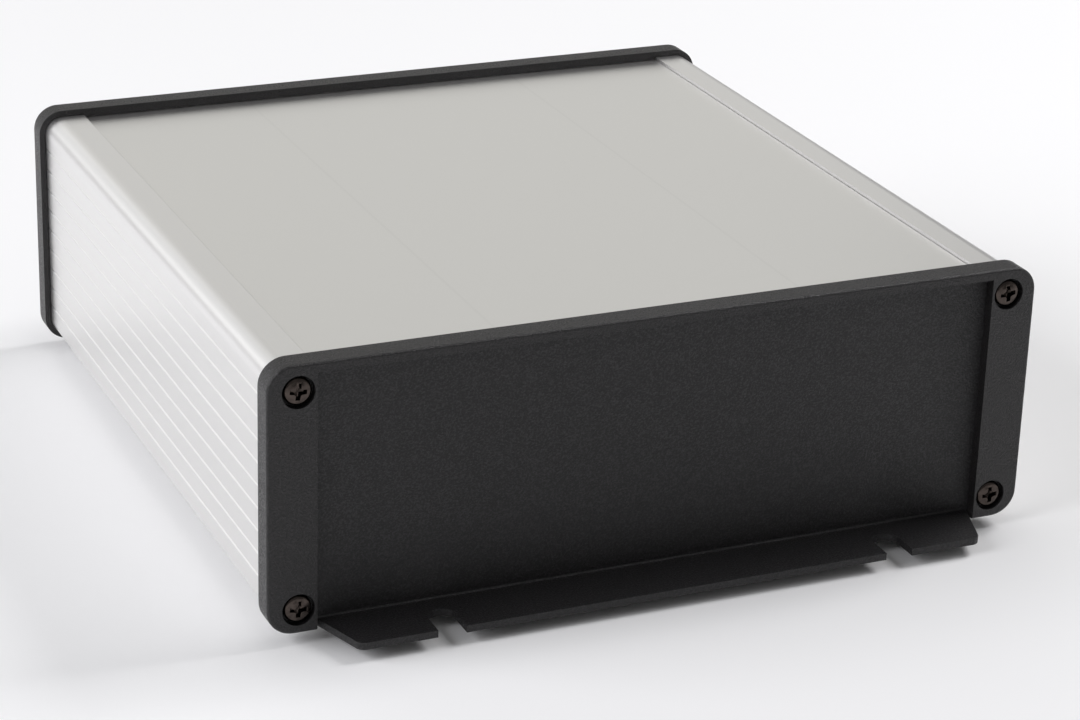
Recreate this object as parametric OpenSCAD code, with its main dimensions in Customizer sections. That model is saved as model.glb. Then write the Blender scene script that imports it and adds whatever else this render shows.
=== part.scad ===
// Extruded aluminium enclosure. A U-shaped body extrusion is closed by a
// cover that slides in below its two top rails. At each end a bezel frame
// and a flanged end panel are held by four screws, which run into channels
// in the extrusion. It stands on four stick-on feet.
// Millimetres, +Z up, front end towards -Y. The origin lies on the ground,
// under the middle of the case.

/* [Extruded body] */
// Width of the body over its side walls
body_w = 162.2; // [130:0.1:220]
// Height of the body from its underside to the top of its rails
body_h = 52.7; // [44:0.1:90]
// Length of the body between its sawn ends
body_l = 156.5; // [90:0.5:260]
// Outside radius of the body's long corners
body_r = 4; // [3:0.1:5]
// Thickness of the side walls and the floor
wall = 1.8; // [1.5:0.1:2.4]
// Width of each top rail, from the side face to the cover
rail_w = 9; // [8.5:0.1:12]

/* [Side grooves] */
// Number of fine grooves along each side
groove_count = 9; // [3:1:11]
// Height from the body's underside to the lowest groove, and from the top
groove_margin = 7.3; // [6:0.1:12]
// Width of a groove at the surface
groove_w = 0.6; // [0.4:0.1:1.2]
// Depth of a groove
groove_d = 0.3; // [0.2:0.05:0.6]

/* [Slide-in cover] */
// Thickness of the cover plate
cover_t = 1.8; // [1.6:0.1:2.4]
// Depth of the cover's face below the top of the rails
cover_drop = 0.7; // [0.3:0.1:1.2]
// Thickness of the tongue along each edge of the cover
tongue_t = 1; // [0.8:0.1:1.2]
// Reach of the tongue into the groove of the rail
tongue_w = 1.3; // [0.8:0.1:1.4]
// Thickness of the ledge below the tongue
ledge_t = 1.3; // [1:0.1:2]
// Play between the cover and the body, on each face
slide_gap = 0.12; // [0.05:0.01:0.3]
// Distance between the two stiffening ribs under the cover
cover_rib_span = 66; // [30:1:90]
// Width of each stiffening rib
cover_rib_w = 1.6; // [1:0.1:3]
// Depth of each stiffening rib
cover_rib_d = 1; // [0.5:0.1:2]

/* [Card guides] */
// Number of card slots on each side wall
guide_count = 4; // [2:1:4]
// Width of a card slot
guide_slot = 1.8; // [1.6:0.1:2.2]
// Thickness of the rib on each side of a card slot
guide_rib = 1.1; // [0.8:0.1:1.3]
// Reach of the ribs from the side wall
guide_reach = 2.4; // [1.5:0.1:3.5]

/* [Screw channels] */
// Diameter of the four channels that the screws cut into
channel_d = 2.9; // [2.8:0.1:3.2]
// Thickness of metal round a channel
channel_wall = 1.5; // [1.2:0.1:1.8]
// Width of the slit that opens a channel to the inside
channel_slit = 1.2; // [0.8:0.1:1.6]
// Distance of the channels from the side face of the body
channel_inset_x = 4.9; // [4.6:0.1:5.4]
// Height of the lower channels above the underside of the body
channel_inset_low = 3.6; // [3.4:0.1:4.4]
// Depth of the upper channels below the top of the rails
channel_inset_top = 4.1; // [3.8:0.1:4.8]

/* [Bezels] */
// How far a bezel stands proud of the body all round
bezel_proud = 1.4; // [1:0.1:2.5]
// Thickness of a bezel in front of its end panel
bezel_face = 2.3; // [2:0.1:4]
// Length of the bezel's skirt over the end of the body
bezel_wrap = 1.45; // [0.8:0.05:4]
// Width of the two columns that carry the screws
column_w = 10.1; // [9.8:0.1:13]
// Height of the bar across the top of the bezel
top_bar_h = 2; // [1.6:0.1:3]
// Radius along the front edge of the bezel
bezel_edge_r = 0.6; // [0.3:0.1:1]
// Play between the bezel and what it fits over
fit_gap = 0.1; // [0.05:0.01:0.2]

/* [Flanged end panels] */
// Thickness of the panel sheet
panel_t = 1.5; // [1.2:0.1:2]
// Inside radius of the bend at the foot of the panel
bend_r = 0.8; // [0.5:0.1:1.5]
// Reach of the flange in front of the bezel
flange_reach = 10.7; // [10:0.1:16]
// Gap between each end of the flange and its column
flange_side_gap = 0.6; // [0.3:0.1:1]
// How far each end of the flange draws in towards its front edge
flange_taper = 4.2; // [2:0.1:6]
// Radius of the flange's front corners
flange_corner_r = 1.8; // [1:0.1:3]
// Distance between the two open slots of a flange
slot_span = 97.7; // [60:0.1:110]
// Width of an open slot
slot_w = 5.9; // [4.3:0.1:6.6]
// Depth of an open slot from the front edge of the flange
slot_l = 8.3; // [6.5:0.1:9]

/* [Screws] */
// Diameter of a screw head
head_d = 5.7; // [5.4:0.1:6.2]
// Height of a screw head
head_h = 1.6; // [1.2:0.1:1.8]
// Diameter of the counterbore round a screw head
counterbore_d = 7; // [6.6:0.1:7.4]
// Depth of the counterbore
counterbore_h = 1.65; // [1.5:0.05:1.9]
// Diameter of a screw's shank, without its thread
shank_d = 2.7; // [2.4:0.1:2.8]
// Length of a screw below its head
screw_l = 12; // [8:0.5:20]
// Diameter of the screw holes in bezel and panel
screw_hole_d = 3.4; // [3.2:0.1:3.8]
// Width of the arms of the cross recess
cross_w = 0.95; // [0.7:0.05:1.2]
// Span of the cross recess
cross_span = 3.3; // [2.4:0.1:3.8]
// Depth of the cross recess
cross_d = 1.1; // [0.6:0.1:1.2]

/* [Feet] */
// Diameter of a stick-on foot at the case
foot_d = 12; // [8:0.5:16]
// Diameter of a foot at the ground
foot_tip_d = 10.5; // [6:0.5:14]
// Height of a foot
foot_h = 3.9; // [3.5:0.1:8]
// Distance of the feet's centres from the sides of the body
foot_inset_x = 18; // [12:0.5:30]
// Distance of the feet's centres from the ends of the body
foot_inset_y = 20; // [12:0.5:30]

/* [Hidden] */
$fn = 48;

// Cutting tools run this far past what they cut
past = 1;

// Heights
body_low = foot_h;
body_top = body_low + body_h;
body_mid = body_low + body_h / 2;
bezel_low = body_low - bezel_proud;
bezel_top = body_top + bezel_proud;
cover_top = body_top - cover_drop;
cover_low = cover_top - cover_t;
channel_low = body_low + channel_inset_low;
channel_top = body_top - channel_inset_top;

// Widths
cover_opening = body_w - 2 * rail_w;
inside_w = body_w - 2 * wall;
bezel_w = body_w + 2 * bezel_proud;
window_w = bezel_w - 2 * column_w;
channel_x = body_w / 2 - channel_inset_x;
boss_r = channel_d / 2 + channel_wall;
flange_w = window_w - 2 * flange_side_gap;

// Distances of the end parts from the middle of the case
body_end = body_l / 2;
panel_face = body_end + panel_t;
bezel_front = panel_face + bezel_face;
flange_tip = bezel_front + flange_reach;
bend_y = panel_face + bend_r;

// The side grooves share the height between the two margins
groove_pitch = (body_h - 2 * groove_margin) / (groove_count - 1);

// Card slots share the height between the lower and the upper bosses
guides_low = channel_low + boss_r;
guides_top = channel_top - boss_r;
guide_pitch = (guides_top - guides_low) / guide_count;

// Extrudes an outline drawn as (x, z) from y0 to y1
module along_y(y0, y1) {
    translate([0, y1, 0]) rotate([90, 0, 0]) linear_extrude(y1 - y0) children();
}

// Extrudes an outline drawn as (y, z) over the length given, to both sides
module along_x(length) {
    rotate([90, 0, 90]) linear_extrude(length, center = true) children();
}

// Places its children at the front end, or turned round at the rear end
module at_end(end) {
    rotate([0, 0, end == "front" ? 0 : 180]) children();
}

// A rectangle with round corners about the origin
module round_box(w, h, r) {
    square([w - 2 * r, h], center = true);
    square([w, h - 2 * r], center = true);
    for (x = [-1, 1], y = [-1, 1])
        translate([x * (w / 2 - r), y * (h / 2 - r)]) circle(r);
}

// A rectangle between two opposite corners
module box_2d(x0, z0, x1, z1) {
    translate([x0, z0]) square([x1 - x0, z1 - z0]);
}

// --- Extruded body -------------------------------------------------------

// Half of the body's cavity, from the middle to the right side wall
module cavity_half() {
    box_2d(-past, body_low + wall, inside_w / 2, cover_low - slide_gap - ledge_t);
    box_2d(-past, body_low + wall, cover_opening / 2, body_top + past);
}

// Metal round the two screw channels of one side, tied to the side wall
module channel_bosses() {
    for (z = [channel_low, channel_top]) {
        translate([channel_x, z]) circle(boss_r);
        box_2d(channel_x, z - boss_r, body_w / 2 - wall / 2, z + boss_r);
    }
}

// The ribs that form the card slots of one side
module card_guides() {
    rib_x = inside_w / 2 - guide_reach;
    for (i = [0 : guide_count - 1]) {
        z = guides_low + (i + 0.5) * guide_pitch;
        low_rib = z - guide_slot / 2 - guide_rib;
        box_2d(rib_x, low_rib, body_w / 2 - wall / 2, low_rib + guide_rib);
        box_2d(rib_x, z + guide_slot / 2, body_w / 2 - wall / 2, z + guide_slot / 2 + guide_rib);
    }
}

// The round channels of one side, slit open towards the middle of the wall
module channel_holes() {
    for (z = [channel_low, channel_top]) {
        slit_side = z < body_mid ? 1 : -1;
        slit_end = z + slit_side * (boss_r + past);
        translate([channel_x, z]) circle(channel_d / 2);
        box_2d(channel_x - channel_slit / 2, min(z, slit_end),
               channel_x + channel_slit / 2, max(z, slit_end));
    }
}

// The groove in the rail that the cover's tongue slides in
module tongue_groove() {
    box_2d(cover_opening / 2 - past, cover_low - slide_gap,
           cover_opening / 2 + tongue_w, cover_low + tongue_t + slide_gap);
}

// The fine V-grooves of one side face
module side_grooves() {
    for (i = [0 : groove_count - 1])
        translate([body_w / 2, body_low + groove_margin + i * groove_pitch])
            polygon([[0, groove_w / 2], [-groove_d, 0], [0, -groove_w / 2],
                     [past, -groove_w / 2], [past, groove_w / 2]]);
}

module mirrored_x() {
    children();
    mirror([1, 0]) children();
}

module body_outline() {
    translate([0, body_mid]) round_box(body_w, body_h, body_r);
}

module body_section() {
    difference() {
        union() {
            difference() {
                body_outline();
                mirrored_x() cavity_half();
            }
            intersection() {
                body_outline();
                mirrored_x() {
                    channel_bosses();
                    card_guides();
                }
            }
        }
        mirrored_x() {
            channel_holes();
            tongue_groove();
            side_grooves();
        }
    }
}

module extruded_body() {
    color([0.78, 0.77, 0.75]) along_y(-body_end, body_end) body_section();
}

// --- Slide-in cover ------------------------------------------------------

module cover_section() {
    plate_x = cover_opening / 2 - slide_gap;
    tongue_x = cover_opening / 2 + tongue_w - slide_gap;
    box_2d(-plate_x, cover_low, plate_x, cover_top);
    box_2d(-tongue_x, cover_low, tongue_x, cover_low + tongue_t);
    for (side = [-1, 1])
        translate([side * cover_rib_span / 2 - cover_rib_w / 2, cover_low - cover_rib_d])
            square([cover_rib_w, cover_rib_d + tongue_t]);
}

module slide_cover() {
    color([0.74, 0.72, 0.7]) along_y(-body_end, body_end) cover_section();
}

// --- Bezels --------------------------------------------------------------

// A plate drawn in (x, z) whose front outer edge is rounded: straight beams
// between four round corner discs, with the plate's front face at y = 0
module soft_plate(w, h, r, edge, t) {
    module edge_profile(half) {
        square([2 * half - 2 * edge, t], center = true);
        translate([0, edge / 2]) square([2 * half, t - edge], center = true);
        for (s = [-1, 1]) translate([s * (half - edge), edge - t / 2]) circle(edge);
    }
    translate([0, t / 2, 0]) {
        linear_extrude(h - 2 * r, center = true) edge_profile(w / 2);
        rotate([0, 90, 0]) linear_extrude(w - 2 * r, center = true) edge_profile(h / 2);
        for (x = [-1, 1], z = [-1, 1])
            translate([x * (w / 2 - r), 0, z * (h / 2 - r)])
                rotate([-90, 0, 0]) rotate_extrude() intersection() {
                    edge_profile(r);
                    translate([0, -t]) square([r, 2 * t]);
                }
    }
}

// The space behind the face that takes the end of the body and the cover
module bezel_pocket() {
    difference() {
        translate([0, body_mid])
            round_box(body_w + 2 * fit_gap, body_h + 2 * fit_gap, body_r + fit_gap);
        box_2d(-cover_opening / 2 + fit_gap, cover_top + fit_gap,
               cover_opening / 2 - fit_gap, bezel_top);
    }
}

module screw_places() {
    for (x = [-channel_x, channel_x], z = [channel_low, channel_top])
        translate([x, -bezel_front, z]) rotate([-90, 0, 0]) children();
}

module bezel(end) {
    bezel_t = bezel_face + panel_t + bezel_wrap;
    color([0.09, 0.09, 0.1]) at_end(end) difference() {
        translate([0, -bezel_front, (bezel_low + bezel_top) / 2])
            soft_plate(bezel_w, bezel_top - bezel_low, body_r + bezel_proud, bezel_edge_r, bezel_t);
        along_y(-bezel_front - past, -panel_face + past)
            box_2d(-window_w / 2, bezel_low - past, window_w / 2, bezel_top - top_bar_h);
        along_y(-panel_face, -bezel_front + bezel_t + past) {
            bezel_pocket();
            box_2d(-window_w / 2, bezel_low - past, window_w / 2, body_mid);
        }
        screw_places() {
            cylinder(h = 2 * bezel_face, d = screw_hole_d);
            translate([0, 0, -past]) cylinder(h = counterbore_h + past, d = counterbore_d);
        }
    }
}

// --- Flanged end panels --------------------------------------------------

// The upright sheet, which fills the bezel's pocket behind its columns
module panel_outline() {
    difference() {
        intersection() {
            translate([0, body_mid])
                round_box(body_w - 2 * fit_gap, body_h - 2 * fit_gap, body_r - fit_gap);
            box_2d(-body_w / 2, body_low, body_w / 2, cover_top - fit_gap);
        }
        for (x = [-channel_x, channel_x], z = [channel_low, channel_top])
            translate([x, z]) circle(d = screw_hole_d);
    }
}

// The quarter bend between the sheet and its flange, drawn as (y, z)
module bend_section() {
    translate([-bend_y, bezel_low + panel_t + bend_r]) intersection() {
        difference() {
            circle(bend_r + panel_t);
            circle(bend_r);
        }
        translate([0, -2 * (bend_r + panel_t)]) square(2 * (bend_r + panel_t));
    }
}

// The flat of the flange seen from above, without its slots: two straight
// ends that draw in towards the front, and two round front corners
module flange_plan() {
    taper_angle = atan(flange_taper / (flange_tip - bend_y));
    tip_x = flange_w / 2 - flange_taper;
    tangent = flange_corner_r * tan((90 - taper_angle) / 2);
    side_x = tip_x + tangent * sin(taper_angle);
    side_y = -flange_tip + tangent * cos(taper_angle);
    polygon([[-flange_w / 2, -bend_y], [-side_x, side_y], [-tip_x + tangent, -flange_tip],
             [tip_x - tangent, -flange_tip], [side_x, side_y], [flange_w / 2, -bend_y]]);
    for (s = [-1, 1])
        translate([s * (tip_x - tangent), -flange_tip + flange_corner_r]) circle(flange_corner_r);
}

// One open slot, round at its inner end
module open_slot() {
    inner_y = slot_l - slot_w / 2;
    translate([0, inner_y]) circle(d = slot_w);
    translate([-slot_w / 2, -past]) square([slot_w, inner_y + past]);
}

module flange_panel(end) {
    color([0.06, 0.06, 0.065]) at_end(end) {
        along_y(-panel_face, -body_end) panel_outline();
        along_y(-panel_face, -body_end)
            box_2d(-flange_w / 2, bezel_low + panel_t + bend_r, flange_w / 2, body_mid);
        along_x(flange_w) bend_section();
        translate([0, 0, bezel_low]) linear_extrude(panel_t) difference() {
            flange_plan();
            for (s = [-1, 1])
                translate([s * slot_span / 2, -flange_tip]) open_slot();
        }
    }
}

// --- Screws --------------------------------------------------------------

// Half section of a screw, drawn as (radius, height below the head's seat)
module screw_section() {
    crown_r = head_h * 0.55;
    square([head_d / 2, head_h - crown_r]);
    square([head_d / 2 - crown_r, head_h]);
    translate([head_d / 2 - crown_r, head_h - crown_r]) intersection() {
        circle(crown_r);
        square(crown_r);
    }
    translate([0, -screw_l]) square([shank_d / 2, screw_l]);
}

// One pan-head screw, its cross recess turned by the angle given
module screw(end, side, z, turn) {
    color([0.2, 0.18, 0.16]) at_end(end)
        translate([side * channel_x, -bezel_front + counterbore_h, z]) rotate([90, turn, 0])
            difference() {
                rotate_extrude() screw_section();
                translate([0, 0, head_h]) {
                    cube([cross_span, cross_w, 2 * cross_d], center = true);
                    cube([cross_w, cross_span, 2 * cross_d], center = true);
                }
            }
}

// --- Feet ----------------------------------------------------------------

// One stick-on foot, a low rubber cone
module foot(x_side, y_side) {
    color([0.12, 0.12, 0.12])
        translate([x_side * (body_w / 2 - foot_inset_x), y_side * (body_end - foot_inset_y), 0])
            cylinder(h = foot_h, d1 = foot_tip_d, d2 = foot_d);
}

extruded_body();
slide_cover();
bezel("front");  // front_bezel
bezel("rear");  // rear_bezel
flange_panel("front");  // front_flange_panel
flange_panel("rear");  // rear_flange_panel
screw("front", -1, channel_low, 8);  // front_screw_low_left
screw("front", 1, channel_low, 30);  // front_screw_low_right
screw("front", -1, channel_top, 0);  // front_screw_top_left
screw("front", 1, channel_top, 40);  // front_screw_top_right
screw("rear", 1, channel_low, 20);  // rear_screw_low_left
screw("rear", -1, channel_low, 65);  // rear_screw_low_right
screw("rear", 1, channel_top, 35);  // rear_screw_top_left
screw("rear", -1, channel_top, 5);  // rear_screw_top_right
foot(-1, -1);  // foot_front_left
foot(1, -1);  // foot_front_right
foot(-1, 1);  // foot_rear_left
foot(1, 1);  // foot_rear_right
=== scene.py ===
# %% [markdown]
# # An extruded aluminium enclosure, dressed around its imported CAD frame
#
# The object is an instrument case: a grooved aluminium extrusion, a cover that slides
# in below its two top rails, and at each end a black bezel and a black bent panel whose
# slotted flange screws the case down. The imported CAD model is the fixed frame. Body and
# cover keep their CAD shape and get a better finish, while the bezels, the bent panels,
# the screws and the feet are modelled again with the soft edges that paint, pressing
# and moulding give them.

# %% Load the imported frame
import math

import bmesh
import bpy
from mathutils import Matrix, Vector


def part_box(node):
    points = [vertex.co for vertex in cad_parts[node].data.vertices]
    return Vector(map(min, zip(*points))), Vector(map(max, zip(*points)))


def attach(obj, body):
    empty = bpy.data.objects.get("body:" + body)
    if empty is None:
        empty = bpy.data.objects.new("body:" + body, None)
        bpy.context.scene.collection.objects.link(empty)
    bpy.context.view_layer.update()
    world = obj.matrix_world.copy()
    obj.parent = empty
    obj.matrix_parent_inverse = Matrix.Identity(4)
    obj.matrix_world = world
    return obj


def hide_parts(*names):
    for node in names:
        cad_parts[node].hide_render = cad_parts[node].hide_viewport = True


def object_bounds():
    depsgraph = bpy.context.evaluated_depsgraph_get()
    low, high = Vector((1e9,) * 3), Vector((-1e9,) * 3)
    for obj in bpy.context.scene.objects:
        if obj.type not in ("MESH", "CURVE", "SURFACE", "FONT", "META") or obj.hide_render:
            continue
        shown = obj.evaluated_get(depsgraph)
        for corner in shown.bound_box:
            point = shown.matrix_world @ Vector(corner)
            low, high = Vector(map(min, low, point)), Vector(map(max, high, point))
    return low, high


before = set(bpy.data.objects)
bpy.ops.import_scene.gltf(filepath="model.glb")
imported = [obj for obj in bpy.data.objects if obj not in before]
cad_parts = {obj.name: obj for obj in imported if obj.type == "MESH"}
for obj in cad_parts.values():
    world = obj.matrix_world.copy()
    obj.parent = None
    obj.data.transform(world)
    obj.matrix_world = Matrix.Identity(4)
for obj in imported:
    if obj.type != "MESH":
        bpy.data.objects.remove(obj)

cad_low, cad_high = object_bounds()
MM = 0.001
print("CAD box in mm:", [round(v / MM, 2) for v in (*cad_low, *cad_high)])

# %% [markdown]
# ## Sizes shared by the pieces
#
# Every place comes from the boxes of the CAD nodes. What a box can't tell, such as the
# width of a bezel's columns or the radius of a corner, is named here once, in
# millimetres. A table of all sizes could stand in every cell, but then two cells might
# disagree. Bend radius and counterbore are 0.3 and 0.4 mm smaller than in the CAD
# model, because the finished case looks that way.

# %% Read places from the frame and name the other sizes
body_low, body_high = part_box("extruded_body")
cover_low, cover_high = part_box("slide_cover")
bezel_low, bezel_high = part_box("front_bezel")
panel_low, panel_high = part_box("front_flange_panel")
screw_low, screw_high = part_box("front_screw_low_left")
foot_low, foot_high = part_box("foot_front_left")

corner_r = 4.0 * MM
bezel_proud = bezel_high.z - body_high.z
column_w = 10.1 * MM
top_bar_h = 2.0 * MM
bezel_edge_r = 0.6 * MM
bezel_face = 2.3 * MM
sheet_t = 1.5 * MM
bend_r = 0.5 * MM
fit_gap = 0.1 * MM
flange_side_gap = 0.6 * MM
flange_taper = 4.2 * MM
flange_corner_r = 1.8 * MM
slot_span = 97.7 * MM
slot_w = 5.9 * MM
slot_l = 8.3 * MM
counterbore_d = 6.6 * MM
counterbore_h = 1.65 * MM
screw_hole_d = 3.4 * MM

panel_face_y = bezel_low.y + bezel_face
window_half = bezel_high.x - column_w
flange_half = window_half - flange_side_gap
print("bezel front at", round(bezel_low.y / MM, 2), "mm")
print("half width of the bezel's window:", round(window_half / MM, 2), "mm")

# %% [markdown]
# ## Modelling helpers
#
# Each piece starts as a primitive at its place. Edit mode then shapes the faces and
# edges that a test on their place picks out, which does in code what a click does by
# hand. The CAD nodes stay selected after loading, so everything is deselected before a
# primitive is added, and its place is applied so that the object sits at the origin.


# %% Start a box and pick its parts
def place_in_mesh(piece, name):
    """Names a new primitive and moves its place from the object into its mesh."""
    bpy.ops.object.transform_apply(location=True, rotation=True, scale=True)
    piece.name = name
    piece.data.name = name
    return piece


def start_box(name, low, high):
    """A box between two corners."""
    low, high = Vector(low), Vector(high)
    bpy.ops.object.select_all(action="DESELECT")
    bpy.ops.mesh.primitive_cube_add(size=1, location=(low + high) / 2)
    box = bpy.context.object
    box.scale = high - low
    return place_in_mesh(box, name)


def start_cylinder(name, foot, axis, radius, depth, sides=64):
    """A cylinder that stands on the point foot and rises along axis."""
    bpy.ops.object.select_all(action="DESELECT")
    turn = Vector(axis).to_track_quat("Z", "Y")
    middle = Vector(foot) + Vector(axis) * depth / 2
    bpy.ops.mesh.primitive_cylinder_add(
        vertices=sides, radius=radius, depth=depth, location=middle, rotation=turn.to_euler()
    )
    return place_in_mesh(bpy.context.object, name)


def pick(piece, kind, test):
    """Opens the piece in edit mode with only those parts selected that pass the test."""
    bpy.context.view_layer.objects.active = piece
    if piece.mode != "EDIT":
        bpy.ops.object.mode_set(mode="EDIT")
    bpy.ops.mesh.select_mode(type=kind)
    bpy.ops.mesh.select_all(action="DESELECT")
    mesh = bmesh.from_edit_mesh(piece.data)
    parts = {"VERT": mesh.verts, "EDGE": mesh.edges, "FACE": mesh.faces}[kind]
    found = [part for part in parts if test(part)]
    for part in found:
        part.select_set(True)
    mesh.select_flush_mode()
    bmesh.update_edit_mesh(piece.data)
    return len(found)


def close_edit(piece):
    """Leaves edit mode with the piece as the only selected object."""
    bpy.ops.object.mode_set(mode="OBJECT")
    bpy.ops.object.select_all(action="DESELECT")
    piece.select_set(True)
    bpy.context.view_layer.objects.active = piece
    return piece


slack = 0.01 * MM


def near(a, b):
    """True where two lengths agree within the slack."""
    return abs(a - b) < slack


def along(edge, axis):
    """True for an edge that runs along the axis 0, 1 or 2."""
    way = edge.verts[1].co - edge.verts[0].co
    return abs(way[axis]) > 0.999 * way.length


print("two lengths count as equal within", slack / MM, "mm")

# %% [markdown]
# Cutting, softening and copying finish every piece. The cut is a Boolean with the
# exact solver, which copes with faces that lie in one plane. No real edge is knife
# sharp, because paint, tumbling or the mould rounds it. Each edge could be picked and
# bevelled by hand, but a limit on its angle finds them all. The normals are then
# weighted by face area so that the large faces still shade flat.


# %% Cut, soften and copy
def apply_last(piece):
    """Applies the modifier that was added last."""
    bpy.ops.object.select_all(action="DESELECT")
    piece.select_set(True)
    bpy.context.view_layer.objects.active = piece
    bpy.ops.object.modifier_apply(modifier=piece.modifiers[-1].name)


def cut(piece, cutter, operation="DIFFERENCE"):
    """Takes the cutter's shape out of the piece and throws the cutter away."""
    tool = piece.modifiers.new("cut", "BOOLEAN")
    tool.operation = operation
    tool.object = cutter
    tool.solver = "EXACT"
    apply_last(piece)
    bpy.data.meshes.remove(cutter.data)
    return piece


def soften(piece, radius, steps=3, limit=40):
    """Rounds every edge sharper than the limit in degrees and keeps large faces flat."""
    round_off = piece.modifiers.new("round_off", "BEVEL")
    round_off.width = radius
    round_off.segments = steps
    round_off.limit_method = "ANGLE"
    round_off.angle_limit = math.radians(limit)
    round_off.use_clamp_overlap = True
    apply_last(piece)
    bpy.ops.object.shade_smooth_by_angle(angle=math.radians(limit))
    weigh = piece.modifiers.new("weigh", "WEIGHTED_NORMAL")
    weigh.keep_sharp = True
    apply_last(piece)
    return piece


def turned_copy(piece, name, turn=Matrix.Rotation(math.pi, 4, "Z")):
    """A copy with its own mesh, turned or moved within that mesh."""
    mesh = piece.data.copy()
    mesh.transform(turn)
    twin = bpy.data.objects.new(name, mesh)
    mesh.name = name
    bpy.context.scene.collection.objects.link(twin)
    return twin


def seat(piece, finish, slot, *nodes):
    """Gives a finished piece its finish and its place in the frame."""
    piece.data.materials.clear()
    piece.data.materials.append(finish)
    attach(piece, "root")
    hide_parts(*nodes)
    triangles = sum(len(face.vertices) - 2 for face in piece.data.polygons)
    print(piece.name, "has", triangles, "triangles")


print("meshes in the scene so far:", len(bpy.data.meshes))

# %% [markdown]
# ## Colours and shader nodes
#
# Colours are written as sRGB hex values, the way a paint chart gives them, and one
# function turns them into the linear values that Blender mixes. One more function adds
# a shader node with its settings and its links.


# %% Colour and node helpers
def linear(hex_colour):
    """An sRGB colour such as "C8C6C2" as linear red, green, blue and alpha."""
    parts = [int(hex_colour[i : i + 2], 16) / 255 for i in (0, 2, 4)]
    return (*[p / 12.92 if p <= 0.04045 else ((p + 0.055) / 1.055) ** 2.4 for p in parts], 1)


def add_node(tree, kind, inputs=None, **settings):
    """Adds a node. inputs maps a socket's name or number to a value or to a socket."""
    node = tree.nodes.new(kind)
    for name, value in settings.items():
        setattr(node, name, value)
    for socket, value in (inputs or {}).items():
        if isinstance(value, bpy.types.NodeSocket):
            tree.links.new(value, node.inputs[socket])
        else:
            node.inputs[socket].default_value = value
    return node


def new_finish(name):
    """An empty material and its node tree."""
    finish = bpy.data.materials.new(name)
    finish.use_nodes = True
    finish.node_tree.nodes.clear()
    return finish, finish.node_tree


print("mid grey in linear values:", [round(part, 3) for part in linear("808080")[:3]])

# %% [markdown]
# ## Satin anodised aluminium
#
# Body and cover are aluminium, etched matt and clear anodised. The etch leaves a satin
# that spreads every reflection wide, and the die leaves faint lines along the whole
# length. A picture of scratches could give the lines, but noise that is stretched along
# the length has no seams and keeps its size in millimetres. A metal keeps the default
# IOR, and its colour is its reflection.


# %% Make the anodised finish
def anodised(name, colour, roughness, rib_x=None):
    """Satin anodised metal, with the mark of a rib this far to each side of the middle."""
    finish, tree = new_finish(name)
    place = add_node(tree, "ShaderNodeTexCoord").outputs["Object"]
    tint = linear(colour)
    if rib_x:
        # A rib below a face cools last. It leaves a mark about 4 percent darker, which
        # fades out 0.5 mm to each side.
        mark_reach = 0.5 * MM
        mark_strength = 0.6
        mark_shade = 0.94
        across_x = add_node(tree, "ShaderNodeSeparateXYZ", {0: place}).outputs[0]
        off_middle = add_node(tree, "ShaderNodeMath", {0: across_x}, operation="ABSOLUTE")
        off_rib = add_node(
            tree, "ShaderNodeMath", {0: off_middle.outputs[0], 1: rib_x}, operation="SUBTRACT"
        )
        off_mark = add_node(tree, "ShaderNodeMath", {0: off_rib.outputs[0]}, operation="ABSOLUTE")
        mark = add_node(
            tree,
            "ShaderNodeMapRange",
            {
                "Value": off_mark.outputs[0],
                "From Min": 0.0,
                "From Max": mark_reach,
                "To Min": mark_strength,
                "To Max": 0.0,
            },
        )
        dark = tuple(mark_shade * part for part in tint[:3]) + (1,)
        tint = add_node(
            tree, "ShaderNodeMix", {0: mark.outputs[0], 6: tint, 7: dark}, data_type="RGBA"
        ).outputs[2]
    # Die lines lie 0.3 mm apart across the length and run on for about 300 mm.
    die_pitch = 0.3 * MM
    stretch = 0.001
    across = add_node(tree, "ShaderNodeMapping", {"Vector": place, "Scale": (1, stretch, 1)})
    lines = add_node(
        tree, "ShaderNodeTexNoise", {"Vector": across.outputs[0], "Scale": 1 / die_pitch, "Detail": 3.0}
    )
    # The etch has a grain of about 0.1 mm, drawn at 0.25 mm so that it shows.
    etch_grain = 0.25 * MM
    etch_depth = 0.004 * MM
    etch_spread = 0.03
    grain = add_node(
        tree, "ShaderNodeTexNoise", {"Vector": place, "Scale": 1 / etch_grain, "Detail": 2.0}
    )
    rough = add_node(
        tree,
        "ShaderNodeMapRange",
        {
            "Value": grain.outputs["Fac"],
            "From Min": 0.3,
            "From Max": 0.7,
            "To Min": roughness - etch_spread,
            "To Max": roughness + etch_spread,
        },
    )
    relief = add_node(
        tree,
        "ShaderNodeMath",
        {0: lines.outputs["Fac"], 1: 0.5, 2: grain.outputs["Fac"]},
        operation="MULTIPLY_ADD",
    )
    # Etching rounds the lips of the grooves, and a rounded lip catches a line of light.
    lip_r = 0.15 * MM
    lips = add_node(tree, "ShaderNodeBevel", {"Radius": lip_r}, samples=6)
    bump = add_node(
        tree,
        "ShaderNodeBump",
        {
            "Strength": 0.25,
            "Distance": etch_depth,
            "Height": relief.outputs[0],
            "Normal": lips.outputs[0],
        },
    )
    metal = add_node(
        tree,
        "ShaderNodeBsdfPrincipled",
        {
            "Base Color": tint,
            "Metallic": 1.0,
            "Roughness": rough.outputs[0],
            "Normal": bump.outputs[0],
        },
    )
    add_node(tree, "ShaderNodeOutputMaterial", {"Surface": metal.outputs[0]})
    return finish


anodised_body = anodised("satin_anodised_aluminium_body", "EBEAE9", 0.35)
anodised_cover = anodised("satin_anodised_aluminium_cover", "E9E8E6", 0.35, rib_x=33 * MM)
for node_name, finish in (("extruded_body", anodised_body), ("slide_cover", anodised_cover)):
    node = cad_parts[node_name]
    for slot in node.material_slots:
        slot.material = finish
    print(node_name, "wears", finish.name)

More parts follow.
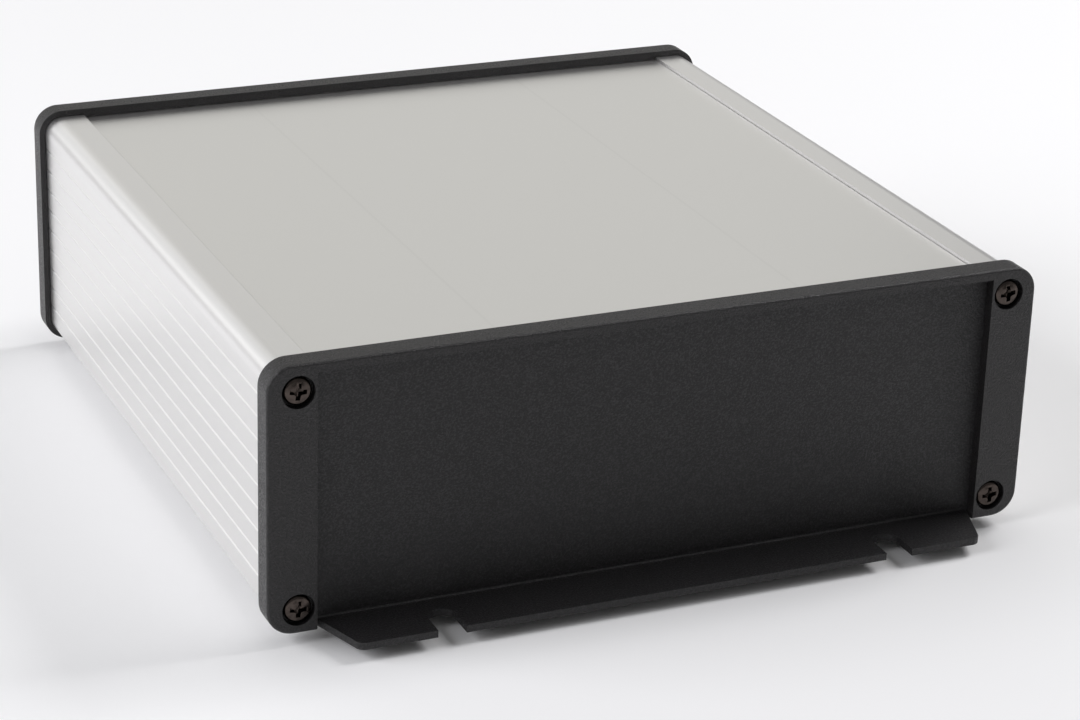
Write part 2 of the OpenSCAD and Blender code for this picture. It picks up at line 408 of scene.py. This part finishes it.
# %% [markdown]
# ## Black powder coat
#
# The bezels are die cast and the panels bent from sheet, and both wear a black
# fine-texture powder coat. The powder melts into small pebbles, which spread the gloss
# wide and make a lit edge glitter. A bump alone could draw them, but one noise that also
# drives colour and roughness makes their tops smoother than the hollows and paints them
# paler: a painted sheen on the tops against painted shade in the hollows. The coat is an
# ordinary dielectric, so its IOR is 1.5 and it isn't metallic.


# %% Make the powder coat
def powder_coat(name, colour, painted_sheen_colour, roughness):
    """A coat of melted pebbles, whose tops are smoother than the hollows and painted paler as a painted
    sheen.
    """
    finish, tree = new_finish(name)
    place = add_node(tree, "ShaderNodeTexCoord").outputs["Object"]
    # Pebbles are about 0.3 mm across, drawn at 0.4 mm so that they show.
    pebble_w = 0.4 * MM
    pebble_h = 0.22 * MM
    pebbles = add_node(
        tree,
        "ShaderNodeTexNoise",
        {"Vector": place, "Scale": 1 / pebble_w, "Detail": 3.0, "Roughness": 0.65},
    )
    tops = add_node(
        tree,
        "ShaderNodeMapRange",
        {"Value": pebbles.outputs["Fac"], "From Min": 0.46, "From Max": 0.66, "To Min": 0.0, "To Max": 1.0},
    )
    # Painted sheen: the pebble tops get the paler colour, which stands in for light on the pebbles and shade
    # between them.
    skin = add_node(
        tree,
        "ShaderNodeMix",
        {0: tops.outputs[0], 6: linear(colour), 7: linear(painted_sheen_colour)},
        data_type="RGBA",
    )
    bump = add_node(
        tree, "ShaderNodeBump", {"Strength": 1.0, "Distance": pebble_h, "Height": pebbles.outputs["Fac"]}
    )
    rougher = 0.08
    smoother = 0.14
    gloss = add_node(
        tree,
        "ShaderNodeMapRange",
        {"Value": tops.outputs[0], "To Min": roughness + rougher, "To Max": roughness - smoother},
    )
    coat = add_node(
        tree,
        "ShaderNodeBsdfPrincipled",
        {
            "Base Color": skin.outputs[2],
            "Roughness": gloss.outputs[0],
            "IOR": 1.5,
            "Specular IOR Level": 0.5,
            "Normal": bump.outputs[0],
        },
    )
    add_node(tree, "ShaderNodeOutputMaterial", {"Surface": coat.outputs[0]})
    return finish


# The paler second colour of each coat is the painted sheen on the pebble tops.
coat_bezel = powder_coat("black_powder_coat_on_casting", "0A0909", "2E2B2D", 0.36)
coat_panel = powder_coat("black_powder_coat_on_sheet", "080808", "282528", 0.42)
print("powder coats:", coat_bezel.name, coat_panel.name)

# %% [markdown]
# ## Screws and feet
#
# The screws are steel with a thin bronze-black plating, which stays metallic and is
# blotched a little paler here and there. One even colour would look like paint, so a
# noise mixes two. The feet are black moulded rubber, matt and soft to the light, and a
# fine bump is enough for them because they hardly show.


# %% Make the plated steel and the rubber
def plated_steel(name, colour, pale_colour, roughness):
    """Dark plated steel with paler blotches."""
    finish, tree = new_finish(name)
    place = add_node(tree, "ShaderNodeTexCoord").outputs["Object"]
    blotch_w = 1.0 * MM
    blotch = add_node(
        tree, "ShaderNodeTexNoise", {"Vector": place, "Scale": 1 / blotch_w, "Detail": 4.0}
    )
    shade = add_node(
        tree,
        "ShaderNodeMix",
        {0: blotch.outputs["Fac"], 6: linear(colour), 7: linear(pale_colour)},
        data_type="RGBA",
    )
    metal = add_node(
        tree,
        "ShaderNodeBsdfPrincipled",
        {"Base Color": shade.outputs[2], "Metallic": 1.0, "Roughness": roughness},
    )
    add_node(tree, "ShaderNodeOutputMaterial", {"Surface": metal.outputs[0]})
    return finish


def moulded_rubber(name, colour):
    """Matt rubber with the skin that its mould leaves."""
    finish, tree = new_finish(name)
    place = add_node(tree, "ShaderNodeTexCoord").outputs["Object"]
    # The grain of the skin is finer than 0.4 mm, and is drawn at that so that it shows.
    skin_grain = 0.4 * MM
    skin_depth = 0.03 * MM
    skin = add_node(
        tree, "ShaderNodeTexNoise", {"Vector": place, "Scale": 1 / skin_grain, "Detail": 3.0}
    )
    bump = add_node(
        tree, "ShaderNodeBump", {"Strength": 0.4, "Distance": skin_depth, "Height": skin.outputs["Fac"]}
    )
    rubber = add_node(
        tree,
        "ShaderNodeBsdfPrincipled",
        {"Base Color": linear(colour), "Roughness": 0.75, "IOR": 1.52, "Normal": bump.outputs[0]},
    )
    add_node(tree, "ShaderNodeOutputMaterial", {"Surface": rubber.outputs[0]})
    return finish


dark_steel = plated_steel("dark_plated_steel", "2A2624", "5E5550", 0.22)
black_rubber = moulded_rubber("black_moulded_rubber", "1E1E1E")
print("small parts:", dark_steel.name, black_rubber.name)

# %% [markdown]
# ## The bezels
#
# A bezel is an upside-down U: two columns with the screws, joined by a thin bar across
# the top. Behind its face a pocket takes the end of the body. It could be built from
# its outline, but a block with rounded corners and edges, cut by plain cutters, follows
# the way its mould was cut and keeps each size in one place.

# %% Shape the block of a bezel
bezel = start_box("front_bezel_frame", bezel_low, bezel_high)
pick(bezel, "EDGE", lambda edge: along(edge, 1))
bpy.ops.mesh.bevel(offset=corner_r + bezel_proud, segments=12, affect="EDGES")
pick(bezel, "EDGE", lambda edge: all(near(v.co.y, bezel_low.y) for v in edge.verts))
bpy.ops.mesh.bevel(offset=bezel_edge_r, segments=4, affect="EDGES")
close_edit(bezel)
print("bezel block has", len(bezel.data.polygons), "faces")

# %% Cut the window and the pocket
# A cutter reaches past what it cuts, and the pocket's step ends inside the cover's edges.
past = 1.0 * MM
step_inset = 1.3 * MM
window = start_box(
    "window",
    (-window_half, bezel_low.y - past, bezel_low.z - past),
    (window_half, panel_face_y + past, bezel_high.z - top_bar_h),
)
cut(bezel, window)

pocket = start_box(
    "pocket",
    (body_low.x - fit_gap, panel_face_y, body_low.z - fit_gap),
    (body_high.x + fit_gap, bezel_high.y + past, body_high.z + fit_gap),
)
pick(pocket, "EDGE", lambda edge: along(edge, 1))
bpy.ops.mesh.bevel(offset=corner_r + fit_gap, segments=10, affect="EDGES")
close_edit(pocket)
step = start_box(
    "step",
    (cover_low.x + step_inset, panel_face_y - past, cover_high.z + fit_gap),
    (cover_high.x - step_inset, bezel_high.y + 2 * past, body_high.z + past),
)
cut(pocket, step)
cut(bezel, pocket)
lower_gap = start_box(
    "lower_gap",
    (-window_half, panel_face_y - past / 2, bezel_low.z - past),
    (window_half, bezel_high.y + past, (bezel_low.z + bezel_high.z) / 2),
)
cut(bezel, lower_gap)
print("bezel has", len(bezel.data.polygons), "faces with its window and pocket")

# %% Sink the screw holes
hole_sides = 32
screw_places = []
for row in ("low", "top"):
    for side in ("left", "right"):
        node_low, node_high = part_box(f"front_screw_{row}_{side}")
        screw_places.append(((node_low.x + node_high.x) / 2, (node_low.z + node_high.z) / 2))
for x, z in screw_places:
    bore = start_cylinder(
        "bore", (x, bezel_low.y - past, z), (0, 1, 0), counterbore_d / 2, counterbore_h + past
    )
    cut(bezel, bore)
    hole = start_cylinder(
        "hole", (x, bezel_low.y, z), (0, 1, 0), screw_hole_d / 2, 2 * bezel_face, hole_sides
    )
    cut(bezel, hole)
soften(bezel, radius=0.25 * MM)
print("bezel has", len(bezel.data.polygons), "faces after the cuts")

# %% Seat both bezels
rear_bezel = turned_copy(bezel, "rear_bezel_frame")
seat(bezel, coat_bezel, "bezel_black", "front_bezel")
seat(rear_bezel, coat_bezel, "bezel_black", "rear_bezel")

# %% [markdown]
# ## The bent end panels
#
# Each end panel is one sheet, bent at its foot into a flange with two open slots. The
# skin is modelled as a press brake makes it: a flat blank, a quarter bend made with
# Spin, and a flat flange drawn out of the bend's last edge. Solidify then gives the
# sheet its thickness, so bend and flange keep one gauge all the way.

# %% Draw the upright of the sheet
upright_half = body_high.x - fit_gap
upright_low = body_low.z
bend_low = panel_low.z + sheet_t + bend_r
sheet_corner_r = corner_r - fit_gap - (body_high.z - fit_gap - panel_high.z)
bpy.ops.object.select_all(action="DESELECT")
bpy.ops.mesh.primitive_plane_add(size=1, rotation=(math.radians(90), 0, 0))
sheet = bpy.context.object
sheet.scale = (2 * upright_half, panel_high.z - upright_low, 1)
sheet.location = (0, panel_face_y, (panel_high.z + upright_low) / 2)
place_in_mesh(sheet, "front_bent_panel")
pick(sheet, "VERT", lambda vert: True)
bpy.ops.mesh.bevel(offset=sheet_corner_r, segments=6, affect="VERTICES")
for plane_co, plane_no in (
    ((flange_half, 0, 0), (1, 0, 0)),
    ((-flange_half, 0, 0), (1, 0, 0)),
    ((0, 0, bend_low), (0, 0, 1)),
):
    pick(sheet, "FACE", lambda face: True)
    bpy.ops.mesh.bisect(plane_co=plane_co, plane_no=plane_no)


def below_bend(face):
    """True for the face between the ends of the flange and under the bend line."""
    middle = face.calc_center_median()
    return middle.z < bend_low and abs(middle.x) < flange_half


taken = pick(sheet, "FACE", below_bend)
bpy.ops.mesh.delete(type="FACE")
print("faces taken away below the bend line:", taken)


# %% Bend the foot and draw out the flange
def on_bend_line(vert):
    """True for a point of the bend line between the ends of the flange."""
    return near(vert.co.z, bend_low) and abs(vert.co.x) < flange_half + slack


pick(sheet, "EDGE", lambda edge: all(on_bend_line(vert) for vert in edge.verts))
bpy.ops.mesh.spin(
    steps=8, angle=math.radians(90), center=(0, panel_face_y - bend_r, bend_low), axis=(1, 0, 0)
)
bend_front = panel_face_y - bend_r
flange_top = panel_low.z + sheet_t
bend_foot = min(vert.co.z for vert in bmesh.from_edit_mesh(sheet.data).verts)
print("the bend ends at z", round(bend_foot / MM, 2), "mm")
pick(
    sheet,
    "EDGE",
    lambda edge: all(near(v.co.y, bend_front) and near(v.co.z, flange_top) for v in edge.verts),
)
bpy.ops.mesh.extrude_region_move(TRANSFORM_OT_translate={"value": (0, panel_low.y - bend_front, 0)})
pick(sheet, "VERT", lambda vert: near(vert.co.y, panel_low.y))
bpy.ops.transform.resize(value=((flange_half - flange_taper) / flange_half, 1, 1), center_override=(0, 0, 0))
taper_angle = math.atan2(flange_taper, bend_front - panel_low.y)
corner_cut = flange_corner_r * math.tan((math.pi / 2 - taper_angle) / 2)
pick(sheet, "VERT", lambda vert: near(vert.co.y, panel_low.y))
bpy.ops.mesh.bevel(offset=corner_cut, segments=6, affect="VERTICES")
close_edit(sheet)

# %% Give the sheet its thickness and cut its slots
gauge = sheet.modifiers.new("gauge", "SOLIDIFY")
gauge.thickness = sheet_t
gauge.offset = -1
gauge.use_even_offset = True
apply_last(sheet)
# A hair less than half the width keeps the two rounds of a slot from meeting.
hair = 0.001 * MM
for side in (-1, 1):
    slot_cutter = start_box(
        "slot",
        (side * slot_span / 2 - slot_w / 2, panel_low.y - past, panel_low.z - past),
        (side * slot_span / 2 + slot_w / 2, panel_low.y + slot_l, flange_top + past),
    )
    pick(slot_cutter, "EDGE", lambda edge: along(edge, 2) and edge.verts[0].co.y > panel_low.y)
    bpy.ops.mesh.bevel(offset=slot_w / 2 - hair, segments=10, affect="EDGES")
    close_edit(slot_cutter)
    cut(sheet, slot_cutter)
for x, z in screw_places:
    hole = start_cylinder(
        "hole", (x, panel_face_y - past, z), (0, 1, 0), screw_hole_d / 2, 2 * past + sheet_t, hole_sides
    )
    cut(sheet, hole)
soften(sheet, radius=0.3 * MM)
sheet_low, sheet_high = sheet.bound_box[0], sheet.bound_box[6]
print("sheet box in mm:", [round(c / MM, 2) for c in (*sheet_low, *sheet_high)])

# %% Seat both panels
rear_sheet = turned_copy(sheet, "rear_bent_panel")
seat(sheet, coat_panel, "panel_black", "front_flange_panel")
seat(rear_sheet, coat_panel, "panel_black", "rear_flange_panel")

# %% [markdown]
# ## The screws
#
# Eight small pan-head screws hold the ends. One is modelled upright at the origin with
# its seat at height zero: a low cylinder whose rim and crown are rounded, and a cross
# recess cut by a four-armed tool with steep walls. The thread could be a bump, but a
# ridge that the Screw modifier winds and a Boolean joins to the shank keeps its outline
# on a screw that is seen by itself. Eight copies go to the places of the CAD screws.

# %% Turn the head
head_r = (screw_high.x - screw_low.x) / 2
head_h = 1.6 * MM
crown_rise = 0.32 * MM
screw = start_cylinder("pan_head", (0, 0, 0), (0, 0, 1), head_r, head_h - crown_rise)
pick(screw, "EDGE", lambda edge: all(near(v.co.z, head_h - crown_rise) for v in edge.verts))
rim_r = 0.75 * MM
bpy.ops.mesh.bevel(offset=rim_r, segments=5, affect="EDGES")
pick(
    screw,
    "FACE",
    lambda face: face.normal.z > 0.9 and near(face.calc_center_median().z, head_h - crown_rise),
)
# The crown rises in three insets, each with its share of the whole rise.
for inset, share in ((0.45 * MM, 0.5), (0.6 * MM, 0.36), (0.6 * MM, 0.14)):
    bpy.ops.mesh.inset(thickness=inset)
    bpy.ops.transform.translate(value=(0, 0, share * crown_rise))
close_edit(screw)
print("the head is", round(2 * head_r / MM, 2), "mm wide and", head_h / MM, "mm high")

# %% Cut the cross recess
arm_w = 0.95 * MM
arm_span = 3.5 * MM
recess_d = 1.3 * MM
above = 0.1 * MM
flare_r = 0.5 * MM
recess_taper = 0.8
cross = start_box(
    "cross", (-arm_w / 2, -arm_w / 2, head_h - recess_d), (arm_w / 2, arm_w / 2, head_h + above)
)
pick(cross, "FACE", lambda face: abs(face.normal.z) < 0.1)
bpy.ops.mesh.extrude_faces_move(TRANSFORM_OT_shrink_fatten={"value": (arm_span - arm_w) / 2})


def between_arms(vert):
    """True for a point in the corner between two arms."""
    return near(abs(vert.co.x), arm_w / 2) and near(abs(vert.co.y), arm_w / 2)


pick(cross, "EDGE", lambda edge: along(edge, 2) and all(between_arms(vert) for vert in edge.verts))
bpy.ops.mesh.bevel(offset=flare_r, segments=4, affect="EDGES")
pick(cross, "VERT", lambda vert: near(vert.co.z, head_h - recess_d))
bpy.ops.transform.resize(value=(recess_taper, recess_taper, 1), center_override=(0, 0, 0))
close_edit(cross)
cut(screw, cross)
soften(screw, radius=0.05 * MM, steps=2, limit=35)
print("screw head has", len(screw.data.polygons), "faces")

# %% Turn the shank
screw_l = 12.0 * MM
tip_l = 1.6 * MM
tip_taper = 0.3
core_r = 1.12 * MM
into_head = 0.2 * MM
shank = start_cylinder("shank", (0, 0, into_head), (0, 0, -1), core_r, screw_l + into_head, 24)
pick(shank, "FACE", lambda face: abs(face.normal.z) < 0.1)
bpy.ops.mesh.bisect(plane_co=(0, 0, tip_l - screw_l), plane_no=(0, 0, 1))
pick(shank, "VERT", lambda vert: near(vert.co.z, -screw_l))
bpy.ops.transform.resize(value=(tip_taper, tip_taper, 1), center_override=(0, 0, -screw_l))
close_edit(shank)
print("the shank is", screw_l / MM, "mm long with a tip of", tip_l / MM, "mm")

# %% Wind the thread
thread_r = 1.4 * MM
pitch = 1.0 * MM
tooth_half = 0.28 * pitch
sunk = 0.08 * MM
bpy.ops.object.select_all(action="DESELECT")
bpy.ops.mesh.primitive_circle_add(vertices=3, radius=1, rotation=(math.radians(90), math.radians(90), 0))
tooth = place_in_mesh(bpy.context.object, "thread")
corners = sorted(tooth.data.vertices, key=lambda vert: vert.co.x)
outline = ((core_r - sunk, -tooth_half), (core_r - sunk, tooth_half), (thread_r, 0))
for corner, (r, z) in zip(corners, outline):
    corner.co = (r, 0, z - screw_l + tip_l)
turns_wound = math.floor((screw_l - tip_l) / pitch)
wind = tooth.modifiers.new("wind", "SCREW")
wind.axis = "Z"
wind.screw_offset = pitch
wind.iterations = turns_wound
wind.steps = 20
wind.render_steps = 20
apply_last(tooth)
pick(tooth, "VERT", lambda vert: True)
bpy.ops.mesh.remove_doubles(threshold=0.001 * MM)
pick(tooth, "VERT", lambda vert: True)
bpy.ops.mesh.fill_holes(sides=3)
pick(tooth, "FACE", lambda face: True)
bpy.ops.mesh.normals_make_consistent(inside=False)
open_edges = sum(edge.is_boundary for edge in bmesh.from_edit_mesh(tooth.data).edges)
print("the thread has", turns_wound, "turns and", open_edges, "open edges")
close_edit(tooth)
cut(shank, tooth, "UNION")
cut(screw, shank, "UNION")
print("screw has", len(screw.data.polygons), "faces")

# %% Drive a screw into each place
# A driven cross stops at any angle. The turns are in degrees.
cross_turns = {
    "front": {"low_left": 3, "low_right": -3, "top_left": 5, "top_right": -6},
    "rear": {"low_left": 20, "low_right": 65, "top_left": 35, "top_right": 5},
}
for end, turns in cross_turns.items():
    outward = -1 if end == "front" else 1
    for place, turn in turns.items():
        node_name = f"{end}_screw_{place}"
        low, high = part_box(node_name)
        seat_y = (low.y if outward < 0 else high.y) - outward * head_h
        middle = Vector(((low.x + high.x) / 2, seat_y, (low.z + high.z) / 2))
        stand = Vector((0, outward, 0)).to_track_quat("Z", "Y").to_matrix().to_4x4()
        driven = turned_copy(
            screw,
            f"{end}_pan_head_screw_{place}",
            Matrix.Translation(middle) @ stand @ Matrix.Rotation(math.radians(outward * turn), 4, "Z"),
        )
        seat(driven, dark_steel, "screw_dark_steel", node_name)
bpy.data.meshes.remove(screw.data)

# %% [markdown]
# ## The feet
#
# Four moulded rubber feet are stuck under the body. Each is a low plug that narrows to
# the floor, so that it leaves its mould. A lathe profile could be spun, but a cylinder
# with one end drawn in and its rims rounded needs fewer steps.

# %% Mould the feet
foot_middle = (foot_low + foot_high) / 2
foot_r = (foot_high.x - foot_low.x) / 2
foot_taper = 10.5 / 12
foot_rim_r = 0.6 * MM
foot_centre = (foot_middle.x, foot_middle.y, 0)
foot = start_cylinder("foot_front_left_pad", foot_centre, (0, 0, 1), foot_r, foot_high.z)
pick(foot, "VERT", lambda vert: near(vert.co.z, 0))
bpy.ops.transform.resize(value=(foot_taper, foot_taper, 1), center_override=foot_centre)
pick(foot, "EDGE", lambda edge: all(near(v.co.z, 0) for v in edge.verts))
bpy.ops.mesh.bevel(offset=foot_rim_r, segments=4, affect="EDGES")
close_edit(foot)
soften(foot, radius=0.15 * MM, steps=2, limit=50)
for node_name in ("foot_front_right", "foot_rear_left", "foot_rear_right"):
    low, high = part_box(node_name)
    shift = (low + high) / 2 - foot_middle
    twin = turned_copy(foot, node_name + "_pad", Matrix.Translation(shift))
    seat(twin, black_rubber, "foot_rubber", node_name)
seat(foot, black_rubber, "foot_rubber", "foot_front_left")

# %% [markdown]
# ## The floor
#
# The case stands on white paper that runs on past every edge of the view. A paper swept
# up behind the case is another way, but the view looks down and meets only the floor, so
# a large matt white plane does the same. It keeps the soft shadows.

# %% Lay the floor
bpy.ops.object.select_all(action="DESELECT")
floor_size = 8.0
bpy.ops.mesh.primitive_plane_add(size=floor_size, location=(0, 0, 0))
floor = bpy.context.object
floor.name = "floor"
paper, tree = new_finish("white_paper")
matt = add_node(tree, "ShaderNodeBsdfPrincipled", {"Base Color": linear("FAFAFA"), "Roughness": 0.9})
add_node(tree, "ShaderNodeOutputMaterial", {"Surface": matt.outputs[0]})
floor.data.materials.append(paper)
print("the floor is", floor_size, "m wide")

# %% [markdown]
# ## Soft studio light
#
# Satin metal shows what stands around it, so the light is a ring of softboxes. One lamp
# would light the case too, but it would leave the metal dull and grey beside its one
# highlight. A wide window on the left lights the grooved side, three boxes that rise in
# an arc behind on the left give the round corner its bright band, and a box behind on
# the right is what the cover reflects. A smaller key high on the right gives the shadows
# their side, and a dim room fills the rest.


# %% Hang the softboxes
def hang_softbox(name, azimuth, elevation, distance, width, height, watts, colour):
    """A softbox that faces the case. Azimuth 0 is behind it and 90 is on its right."""
    light = bpy.data.lights.new(name, "AREA")
    light.shape = "RECTANGLE"
    light.size, light.size_y = width, height
    light.energy = watts
    light.color = linear(colour)[:3]
    softbox = bpy.data.objects.new(name, light)
    bpy.context.scene.collection.objects.link(softbox)
    turn, rise = math.radians(azimuth), math.radians(elevation)
    way = Vector((math.sin(turn) * math.cos(rise), math.cos(turn) * math.cos(rise), math.sin(rise)))
    middle = Vector((0, 0, (cad_low.z + cad_high.z) / 2))
    softbox.matrix_world = Matrix.Translation(distance * way) @ (
        (distance * way - middle).to_track_quat("Z", "Y").to_matrix().to_4x4()
    )
    print(name, "hangs at", [round(c, 2) for c in softbox.matrix_world.translation], "m")


# Angles are in degrees, distance and size in metres, strength in watts.
hang_softbox("window_left", -86, 31, 1.6, 1.4, 0.9, 20.3, "FBFBFF")
hang_softbox("box_corner_low", -38, 12, 1.8, 1.0, 0.5, 1.0, "FFFFFF")
hang_softbox("box_corner", -22, 22, 1.8, 1.0, 0.7, 1.5, "FEFFFF")
hang_softbox("box_corner_high", -12, 36, 1.8, 1.0, 0.6, 0.4, "FFFFFF")
hang_softbox("box_back", 15, 24, 1.8, 1.4, 0.9, 2.0, "FFFEF8")
hang_softbox("key_right", 87, 48, 1.3, 0.5, 0.5, 8.6, "FEFDFF")

# %% Dim the room
room = bpy.data.worlds.new("studio_room")
bpy.context.scene.world = room
room.use_nodes = True
walls = room.node_tree.nodes["Background"]
walls.inputs["Color"].default_value = linear("FFFFFF")
walls.inputs["Strength"].default_value = 0.25
print("the room gives", walls.inputs["Strength"].default_value, "of full white from every side")

# %% [markdown]
# ## The camera
#
# The case is seen from its front left and from above, through a long lens that keeps
# its edges nearly parallel. A camera could be aimed by a constraint, but three plain
# turns at one place are easy to read: round to the left, down, and a slight roll.

# %% Set the camera
eye = bpy.data.cameras.new("eye")
camera = bpy.data.objects.new("eye", eye)
bpy.context.scene.collection.objects.link(camera)
eye_place = (-252.1 * MM, -582.3 * MM, 279.7 * MM)
# The turns are in radians.
azimuth = -0.42177
elevation = 0.39308
roll = 0.0323
camera.matrix_world = (
    Matrix.Translation(eye_place)
    @ Matrix.Rotation(azimuth, 4, "Z")
    @ Matrix.Rotation(math.pi / 2 - elevation, 4, "X")
    @ Matrix.Rotation(roll, 4, "Z")
)
eye.sensor_width = 36
eye.lens = 103.84
eye.clip_start, eye.clip_end = 0.05, 20
bpy.context.scene.camera = camera
bpy.context.scene.view_settings.view_transform = "Standard"
print("the lens is", round(eye.lens, 2), "mm long")
